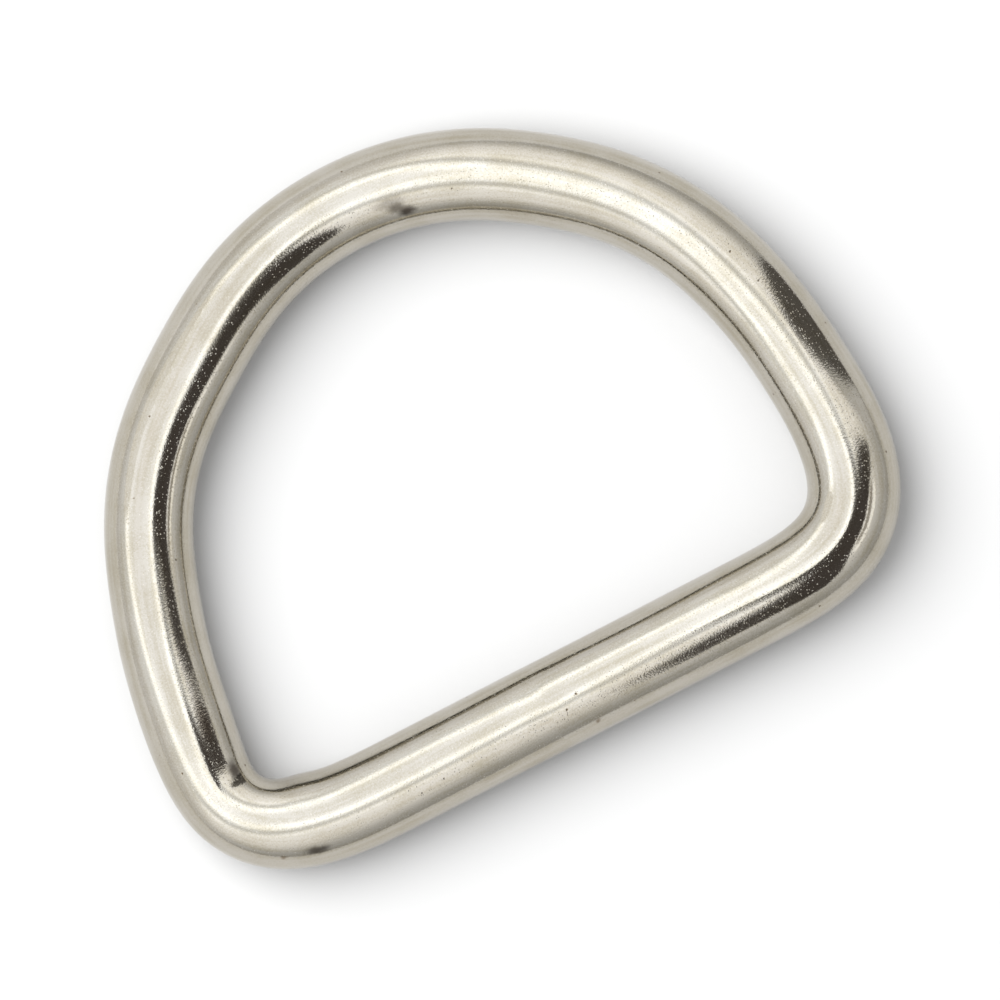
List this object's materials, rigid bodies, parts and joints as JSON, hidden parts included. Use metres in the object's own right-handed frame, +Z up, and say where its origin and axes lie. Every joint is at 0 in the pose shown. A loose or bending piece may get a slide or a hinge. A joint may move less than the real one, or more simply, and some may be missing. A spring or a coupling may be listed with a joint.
{
  "type": "d ring",
  "caption": "Welded D ring of nickel-plated round steel wire, with a straight bar for webbing and a wide bow for a hook or snap.",
  "frame": {"origin": "middle of the ring's outline, on the surface that it lies on", "axes": "+X along the straight bar, +Y from the bar to the crown of the bow, +Z up through the opening"},
  "size_m": [0.052, 0.0404, 0.006],
  "materials": {
    "d_ring": "bright nickel plating on round steel wire, slightly soft and pitted"
  },
  "bodies": {
    "root": {"d_ring": "d_ring"}
  },
  "joints": []
}
